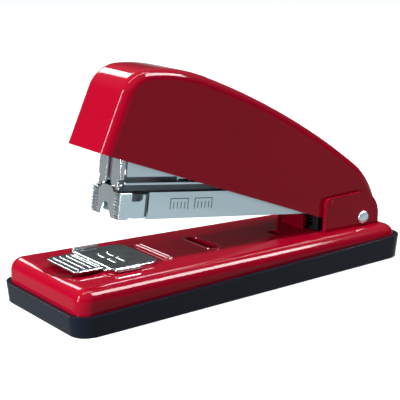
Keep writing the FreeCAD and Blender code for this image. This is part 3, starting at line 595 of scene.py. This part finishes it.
def makePlateExtras():
    e = extras
    ribX = exitX + e["ribAt"]
    parts = [moved(bar(e["ribHalf"] * 2, e["ribRadius"], 16), (ribX + shift, 0, e["ribHigh"]))
             for shift in (0, e["ribShift"])]
    parts += [moved(moved(bar(e["ribShift"] + 1, e["endRadius"], 12), turn=("Z", 90)),
                    (ribX + e["ribShift"] / 2, side * (e["ribHalf"] - e["endInset"]), e["endHigh"]))
              for side in (-1, 1)]

    def stadium(radius, low, high, edge=0):
        x, half = exitX + e["slotAt"], e["slotHalf"] + radius
        return slab(rectangle(x - radius, x + radius, -half, half, radius * 0.98), low, high, edge=edge)

    lip = carve(stadium(e["slotRadius"], -e["slotDeep"], -e["slotTop"]),
                stadium(e["slotRadius"] - e["slotWall"], -e["through"], e["through"]), deck, "slotLip")
    rim = carve(stadium(e["slotRadius"] + e["rimWidth"], -e["rimLow"], e["rimHigh"], e["rimSoft"]),
                stadium(e["slotRadius"], -e["through"], e["through"]), deck, "slotRim")
    mesh = merged(lip, rim, placeMesh(joined(*parts), "rib", deck))
    showPiece("plate_lip_and_rib", mesh, "pooled_enamel", "base")


makePlateExtras()

# the other carried-over pieces, with the width of their softened edges
softness = dict(hinge_bracket=0.3, guide_block=0.45, handle_cover=0.25, screw_posts=0.2, anvil_stud=0.15,
                anvil_washer=0.12, spacer_bushes=0.15, staple_rail=0.15, spring_rod=0.1, pusher=0.2,
                driver_blade=0.1, driver_lever=0.2, magazine_channel=0.25)
for name, soft in softness.items():
    refine(name, soft)

# springs get meshes of their own; their fixed end and their travel are worked out, but nothing shortens them
# as their joint moves; travel is in millimetres
springs = {
    "return_spring": dict(joint="magazine_pivot", place=deck, axis=2, fixedHigh=False, travel=2.7),
    "handle_spring": dict(joint="cover_pivot", place=magazine, axis=2, fixedHigh=False, travel=5.2),
    "pusher_spring": dict(joint="pusher_slide", place=magazine, axis=0, fixedHigh=True, travel=19.3),
}


def shorten(piece, joint, place, axis, fixedHigh, travel):
    local = [place.inverted() @ vert.co for vert in piece.data.vertices]
    low, high = ([pick(point[i] for point in local) for i in range(3)] for pick in (min, max))
    anchor = [(a + b) / 2 for a, b in zip(low, high)]
    anchor[axis] = (high if fixedHigh else low)[axis]
    along = Vector([float(i == axis) for i in range(3)])
    tuple(place.to_3x3() @ along)
    tuple(place @ Vector(anchor))
    1 - travel / (high[axis] - low[axis])
    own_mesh(piece)


for name, values in springs.items():
    shorten(refine(name, 0), **values)
print("carried-over pieces finished")


# anvil: wings with rolled edges, oval grooves, a ridge with ears, a raised thumb pad with bars across
anvil = dict(low=0.05, top=1.25, front=-8.7, half=12.4, wingFront=-6, wingBack=5.6, wingHalf=15.3,
             shoulder=12.1, shoulderHalf=13.9, tail=15.2, tailHalf=11.6, sheetSoft=0.22, curl=1.05,
             ridge=-6.7, ridgeRadius=0.8, earLength=2.6, earRadius=0.55, earInset=0.4,
             padFront=-20.2, padHalf=11, padLow=0.95, padTop=1.85, padCorner=2.4, padSoft=0.35, padLap=1.2,
             barLength=18.4, barRadius=0.28, barSunk=0.1, barRows=((-17.7, 2.7, 3), (-10.1, 1.3, 2)),
             grooveRows=(0, 4), grooveRadius=0.75, grooveHigh=0.12, grooveInner=0.5, grooveOuter=7.2)


def makeAnvil():
    a = anvil

    def across(side):  # near side's outline mirrored to make the whole
        return [(exitX + x, -y, *r) for x, y, *r in side] + [(exitX + x, y, *r) for x, y, *r in side[::-1]]

    wing = (a["wingFront"] + 0.6, a["wingBack"] - 0.2, a["wingBack"] + 0.6)
    sheet = slab(across([(a["front"], a["half"], 0.6), (wing[0], a["half"], 0.3), (wing[0], a["wingHalf"]),
                         (wing[1], a["wingHalf"]), (wing[2], a["shoulderHalf"], 0.4),
                         (a["shoulder"], a["shoulderHalf"], 1.2), (a["tail"], a["tailHalf"], 1.5)]),
                 a["low"], a["top"], edge=a["sheetSoft"], steps=3)
    pad = slab(across([(a["padFront"], a["padHalf"], a["padCorner"]),
                       (a["front"] + a["padLap"], a["padHalf"], 0.4)]),
               a["padLow"], a["padTop"], edge=a["padSoft"], steps=3)
    riser = slab(across([(a["front"], a["padHalf"], 0.3), (a["ridge"], a["padHalf"], 0.3)]),
                 a["low"] + 0.1, a["padTop"] - 0.05, edge=0.2)
    ridge = moved(bar(a["half"] * 2, a["ridgeRadius"], 16), (exitX + a["ridge"], 0, a["top"]))
    curl = moved(moved(bar(a["wingBack"] - a["wingFront"], a["curl"], 16), turn=("Z", 90)),
                 (exitX + (a["wingFront"] + a["wingBack"]) / 2, -a["wingHalf"], a["curl"] + a["low"]))
    ear = moved(bar(a["earLength"], a["earRadius"], 12),
                (exitX + a["ridge"] - 0.2, -a["half"] + a["earInset"], a["top"] - 0.1))
    inner, outer = a["grooveInner"], a["grooveOuter"]
    grooves = [moved(bar(outer - inner, a["grooveRadius"], 24),
                     (exitX + row, (inner + outer) / 2, a["top"] + a["grooveHigh"]))
               for row in a["grooveRows"]]
    carved = carve(sheet, bothSides(*grooves), deck, "anvilSheet")
    rest = placeMesh(joined(pad, riser, ridge, bothSides(curl, ear)), "anvilRest", deck)
    showPiece("anvil_sheet", merged(carved, rest), "nickel", "anvil", ["anvil_slide"])
    rows = []
    for first, step, count in a["barRows"]:
        unit = moved(bar(a["barLength"], a["barRadius"], 16), (exitX + first, 0, a["padTop"] - a["barSunk"]))
        rows.append(repeated(unit, deck, count, (step, 0, 0), "nickel"))
    showPiece("anvil_ridges", merged(*rows), "nickel", "anvil")


makeAnvil()
print("anvil made")


# hinge pin with domed heads
hinge = dict(radius=2, head=2.75, half=15.5, depth=1.3, dome=0.75, bevel=0.1)


def makePin():
    h = hinge
    head = [(h["head"] - h["bevel"], h["half"]), (h["head"], h["half"] + h["bevel"])]
    head += domed(h["head"], 0, h["half"] + h["depth"], h["dome"])[2:]
    profile = [(r, -z) for r, z in head[::-1]] + [(h["radius"], -h["half"]), (h["radius"], h["half"])] + head
    turned = moved(lathe(profile, 40), turn=("X", 90))
    showPiece("pin_shown", placeMesh(turned, "pin", magazine), "bright_steel", "base", ["pivot_pin"])


# rivets: four through the bracket's foot, four through the magazine's sides, one under the housing
rivets = dict(shank=1, head=1.6, depth=0.6, bevel=0.05, footLow=-2.75, footStep=11.5, footSide=10.2,
              sideAt=-31.5, sideStep=5, sideHalf=7.1, sideHigh=7.5, sideGrip=0.9, housingAt=28.6,
              housingLow=14.8, housingSeat=15.8)


def rivet(low, high):
    # shank with a domed head at both ends, about Z
    r = rivets
    top = [(r["shank"], high), (r["head"] - r["bevel"], high), (r["head"], high + r["bevel"])]
    top += domed(r["head"], 0, high + r["depth"], r["depth"] * 0.7, 4)[2:]
    return lathe([(radius, low + high - z) for radius, z in top[::-1]] + top, 24)


def makeRivets():
    r = rivets
    low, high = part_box("bracket_rivets")
    centre = deckInverse @ ((Vector(low) + Vector(high)) / 2)
    unit = moved(rivet(r["footLow"], 0), (centre.x - r["footStep"] / 2, -r["footSide"], 0))
    mesh = repeated(unit, deck, 2, (r["footStep"], 0, 0), "steel_hardware", 2, (0, 2 * r["footSide"], 0))
    showPiece("bracket_rivets_shown", mesh, "steel_hardware", "base", ["bracket_rivets"])
    unit = moved(moved(rivet(-r["sideGrip"], r["sideGrip"]), turn=("X", 90)),
                 (r["sideAt"], -r["sideHalf"], r["sideHigh"]))
    mesh = repeated(unit, magazine, 2, (r["sideStep"], 0, 0), "steel_hardware", 2, (0, 2 * r["sideHalf"], 0))
    showPiece("frame_rivets_shown", mesh, "steel_hardware", "magazine", ["frame_rivets"])
    unit = lathe([(0, r["housingLow"]), (r["shank"], r["housingLow"]), (r["shank"], r["housingSeat"]),
                  (r["head"] - r["bevel"], r["housingSeat"])]
                 + domed(r["head"], 0, r["housingSeat"] + r["depth"], 0.4, 4)[2:], 24)
    mesh = placeMesh(moved(unit, (r["housingAt"] - exitReach, 0, 0)), "housingRivet", magazine)
    showPiece("housing_rivet_shown", mesh, "steel_hardware", "magazine", ["housing_rivet"])


# tray screws: threaded shank, head with a cross recess; the back pair is closer together
screw = dict(radius=1.5, thread=0.35, pitch=0.8, head=2.8, bevel=0.25, low=0.2, depth=1.2, length=9, tip=0.6,
             cross=0.7, arm=1.8, recess=0.9, backInset=3.03)


def makeScrews():
    s = screw
    height, root = s["depth"], s["radius"] - s["thread"]
    profile = [(0, s["low"]), (s["head"] - s["bevel"], s["low"]), (s["head"], s["low"] + s["bevel"]),
               (s["head"], height)]
    while height + s["pitch"] < s["length"] - s["tip"]:
        profile += [(root, height), (s["radius"], height + s["pitch"] / 2)]
        height += s["pitch"]
    profile += [(root, height), (0, s["length"])]
    arm, half = s["arm"], s["cross"] / 2
    quarter, cross = [(arm, -half), (arm, half), (half, half)], []
    for turn in range(4):
        cross += quarter
        quarter = [(-y, x) for x, y in quarter]
    unit = bmesh.new()
    unit.from_mesh(carve(lathe(profile, 24), slab(cross, -1, s["recess"], edge=0), Matrix(), "screwUnit"))
    low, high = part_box("tray_screws")
    side, front, back = high[1] / mm - s["head"], low[0] / mm + s["head"], high[0] / mm - s["head"]
    pairs = [repeated(moved(unit, (x, -y, 0)), upright, 2, (0, y * 2, 0), "steel_hardware")
             for x, y in ((front, side), (back, side - s["backInset"]))]
    showPiece("tray_screws_shown", merged(*pairs), "steel_hardware", "base", ["tray_screws"])


makePin()
makeRivets()
makeScrews()
print("pin, rivets and screws made")


# driver housing: lobed front plates either side of the driver's slot, folded sides, foot;
# waves are the lobes' insets, heights and radii
housing = dict(front=-119.0, sheet=0.9, outer=7.76, slot=1.6, bottom=13.3, lip=11.6, lipInner=5.4, lipEnd=4.6,
               top=40, waves=((1.0, 33.5, 1.5), (0.1, 29.5, 3.0), (1.5, 25.3, 2.0), (0.1, 20.2, 2.8),
                              (1.4, 15.6, 2.0)), lobeSoft=0.4, side=16.9, depth=33, shoulder=15, low=6,
               fold=1.9, foldLow=2.4, gap=0.8, bridge=4, bridgeInset=6, foot=6, footInset=1.8, footLow=14.85,
               footHigh=15.8, heelHigh=17.8)


def makeHousing():
    h = housing
    outer, inner, front, back = h["outer"], h["slot"], h["front"], h["front"] + h["depth"]
    lobe = slab([(-inner, h["bottom"], 0.5), (-inner, h["top"]), (-outer + 0.2, h["top"])]
                + [(-outer + inset, high, radius) for inset, high, radius in h["waves"]]
                + [(-outer + 0.7, h["lip"], 0.5), (-h["lipInner"], h["lip"], 0.3),
                   (-h["lipEnd"], h["bottom"], 0.3)],
                front, front + h["sheet"], "yzx", edge=h["lobeSoft"], steps=4)
    foldBack, foldInner = front + h["fold"], -outer + h["sheet"]
    fold = slab([(front + 0.15, foldInner, 0.4), (foldBack, foldInner), (foldBack, -outer, 0.3),
                 (front + 0.15, -outer, 0.6)], h["bottom"] + h["foldLow"], h["top"] - 0.3, edge=0.2)
    sideFront = foldBack + h["gap"]
    side = slab([(sideFront, h["side"], 0.6), (back, h["side"], 0.5), (back, h["side"] + h["low"], 1.5),
                 (front + h["shoulder"], h["top"], 2.0), (sideFront, h["top"], 0.6)],
                foldInner, -outer + 0.05, "xzy", edge=0.15)
    bridge = slab(rectangle(front + 0.5, front + h["bridge"], h["side"] + h["bridgeInset"],
                            h["top"] - h["bridgeInset"]), foldInner, -outer + 0.45, "xzy", edge=0.1)
    footFront, footSide = back - h["foot"], -outer + h["footInset"]
    foot = slab(rectangle(footFront, back, footSide, -footSide, 0.5), h["footLow"], h["footHigh"], edge=0.15)
    heelLow = h["footLow"] + 0.05
    heel = slab([(footFront, heelLow, 0.3), (back, heelLow, 0.3), (back, h["heelHigh"]),
                 (footFront, h["heelHigh"])], footSide + 0.8, footSide, "xzy", edge=0.1)
    mesh = placeMesh(bothSides(lobe, fold, bridge), "housing", magazine)
    showPiece("housing_front", mesh, "nickel", "magazine", ["driver_housing"])
    mesh = placeMesh(joined(bothSides(side, heel), foot), "sides", magazine)
    showPiece("housing_sides", mesh, "bright_steel", "magazine")


makeHousing()


# front grip: knurled plate with an arched notch, side flanges, a hook behind each, and a floor
grip = dict(front=-119.8, sheet=1.0, setBack=0.5, half=9.9, bottom=1, shoulder=11.2, neck=3.2, top=12.8,
            notch=2.7, notchTop=6.2, notchCrown=1.3, notchLow=3.2, flange=1.0, flangeFront=0.35,
            flangeBack=-114.3, hookBack=-108.2, hookLow=1.9, hookHigh=10.6, hookStep=9.0, hookNeck=8.0,
            floorFront=6.3, floorLow=1.55, floorHigh=2.35, knurlHalf=4.2, knurls=9, knurlStep=1.16,
            knurlRadius=0.31, knurlFront=0.42, shadeLow=1.5, gapShadeBack=-105.7, gapShadeLow=2.4, gapShadeHigh=10.4,
            gapShadeSide=7.5)


def makeGrip():
    g = grip
    half, front, bottom, shoulder = g["half"], g["front"], g["bottom"], g["shoulder"]
    back = front + g["sheet"]
    face = [(g["notchCrown"], g["notchTop"], 1.2), (g["notch"], g["notchLow"], 0.8),
            (g["notch"] + 0.9, bottom, 1.3), (half - 0.2, bottom, 2.0), (half - 0.2, shoulder, 0.9),
            (g["neck"] + 1.6, shoulder - 0.3, 1.0), (g["neck"], g["top"], 0.5)]
    plateFront = slab(face + [(-y, z, r) for y, z, r in face[::-1]], front + g["setBack"], back + 0.1, "yzx",
                      edge=0.15)
    showPiece("grip_face", placeMesh(plateFront, "grip", magazine), "nickel", "drawer", ["front_grip"])

    flangeFront, flangeBack, inside = front + g["flangeFront"], g["flangeBack"], -half + g["flange"]
    flange = slab([(flangeFront, bottom + 0.1, 0.9), (flangeBack, bottom + 0.1, 2.2),
                   (flangeBack, shoulder, 0.5), (flangeFront, shoulder, 0.5)],
                  inside, -half, "xzy", edge=0.22, steps=3)
    hookFront, hookBack = flangeBack - 0.4, g["hookBack"]
    hook = slab([(hookFront, g["hookLow"]), (hookBack, g["hookLow"], 0.5), (hookBack, g["hookHigh"], 0.4),
                 (hookBack - 1.2, g["hookHigh"], 0.4), (hookBack - 1.2, g["hookStep"], 0.8),
                 (hookBack - 2.4, g["hookNeck"], 0.8), (hookFront, g["hookNeck"])],
                inside, -half + 0.12, "xzy", edge=0.18)
    floor = slab(rectangle(front + g["floorFront"], hookBack, -half + 0.2, half - 0.2),
                 g["floorLow"], g["floorHigh"], edge=0.1)
    whole = joined(bothSides(flange, hook), floor)
    showPiece("grip_flanges", placeMesh(whole, "flanges", magazine), "bright_steel", "drawer")

    # painted shade: dark sheets behind the knurling that darken the gaps between the teeth, and a dark sheet
    # behind the hooks' gap, where there is only shade
    shadeInner, shadeHigh = -half + g["knurlHalf"] - 0.2, shoulder - 0.4
    knurlShade = slab([(-half + 0.3, g["shadeLow"], 1.0), (shadeInner, g["shadeLow"], 0.6),
                   (shadeInner, shadeHigh, 0.6), (-half + 0.3, shadeHigh, 0.6)],
                  front + g["knurlFront"], front + 0.6, "yzx", edge=0)
    gapShade = slab(rectangle(flangeBack, g["gapShadeBack"], g["gapShadeLow"], g["gapShadeHigh"]),
                 -g["gapShadeSide"], -g["gapShadeSide"] + 0.2, "xzy", edge=0)
    shades = placeMesh(bothSides(knurlShade, gapShade), "shades", magazine)
    showPiece("grip_shade", shades, "ink_and_painted_shade", "drawer")
    middle = half - g["knurlHalf"] / 2
    tooth = moved(bar(g["knurlHalf"], g["knurlRadius"], 12), (front + g["knurlFront"], -middle, bottom + 0.6))
    mesh = repeated(tooth, magazine, g["knurls"], (0, 0, g["knurlStep"]), "nickel", 2, (0, middle * 2, 0))
    showPiece("grip_knurl", mesh, "nickel", "drawer")


makeGrip()


# track: a bright flanged top over webs, with cheeks at the hinge end; the webs' dark finish is painted shade
# under the top
track = dict(front=-116.6, back=-12, half=7.7, bottom=13.8, top=14.8, sink=0.4, web=6.4, webFront=-116.4,
             webBottom=11.3, webBack=-38, sheet=0.9, cheek=7.1, cheekInner=6.25, cheekFront=-35,
             cheekBottom=3.8)


def makeTrack():
    t = track
    joint = t["bottom"] + t["sink"]
    top = slab(rectangle(t["front"], t["back"], -t["half"], t["half"], 0.6), t["bottom"], t["top"], edge=0.2)
    cheek = slab([(t["cheekFront"], t["cheekBottom"], 1.5), (t["back"], t["cheekBottom"], 1.5),
                  (t["back"], joint), (t["cheekFront"], joint)],
                 -t["cheek"], -t["cheekInner"], "xzy", edge=0.1)
    web = slab([(t["webFront"], t["webBottom"], 0.3), (t["webBack"], t["webBottom"], 0.3),
                (t["webBack"], joint), (t["webFront"], joint)],
               -t["web"], -t["web"] + t["sheet"], "xzy", edge=0.1)
    bright = placeMesh(joined(top, bothSides(cheek)), "trackTop", magazine)
    showPiece("track_top", bright, "bright_steel", "magazine", ["magazine_track"])
    # webs in the dark finish: painted shade under the bright top
    showPiece("track_webs", placeMesh(bothSides(web), "trackWebs", magazine), "ink_and_painted_shade", "magazine")


makeTrack()


# size marks on the channel's side: plain staple outlines with short bars in them
marks = dict(first=-95.5, step=11.5, width=8.6, high=8.6, drop=4.4, line=0.34, bars=4, barTop=1.4, barLow=0.3,
             side=8.0, sunk=0.05, proud=0.03)


def makeMarks():
    m = marks

    def line(x0, x1, z0, z1):
        return slab(rectangle(x0, x1, z0, z1), m["sunk"] - m["side"], -m["side"] - m["proud"], "xzy", edge=0)

    x, z, w, t = m["first"], m["high"], m["width"], m["line"]
    low, gap = z - m["drop"], w / (m["bars"] + 1)
    outline = joined(line(x, x + w, z - t, z), line(x, x + t, low, z), line(x + w - t, x + w, low, z))
    tick = line(x + gap - t / 2, x + gap + t / 2, low + m["barLow"], z - m["barTop"])
    ticks = repeated(tick, magazine, m["bars"], (gap, 0, 0), "ink_and_painted_shade", 2, (m["step"], 0, 0))
    frames = repeated(outline, magazine, 2, (m["step"], 0, 0), "ink_and_painted_shade")
    showPiece("size_marks", merged(frames, ticks), "ink_and_painted_shade", "magazine")


makeMarks()


# staples: one wire bent into a crown and two legs, repeated along the rail
staple = dict(half=6.4, wire=0.5, leg=6.1, top=10.3, bend=0.5, innerBend=0.12, first=0.4, strip=51.5,
              gap=0.02)


def makeStaples():
    s = staple
    wire, inside = s["wire"], s["half"] - s["wire"]

    def bent(half, top, bend):
        points = [(-half, -s["leg"]), (-half, top, bend), (half, top, bend), (half, -s["leg"])]
        return [tuple(point) for point in cornered(points, 2)]

    unit = slab(bent(s["half"], 0, s["bend"]) + bent(inside, -wire, s["innerBend"])[::-1],
                s["gap"], wire - s["gap"], "yzx", edge=0)
    unit = moved(unit, (s["first"] - exitReach, 0, s["top"]))
    mesh = repeated(unit, magazine, int(s["strip"] / wire), (wire, 0, 0), "staple_wire")
    showPiece("staples_shown", mesh, "staple_wire", "drawer", ["staple_strip"])


makeStaples()
print("housing, grip, track, marks and staples made")
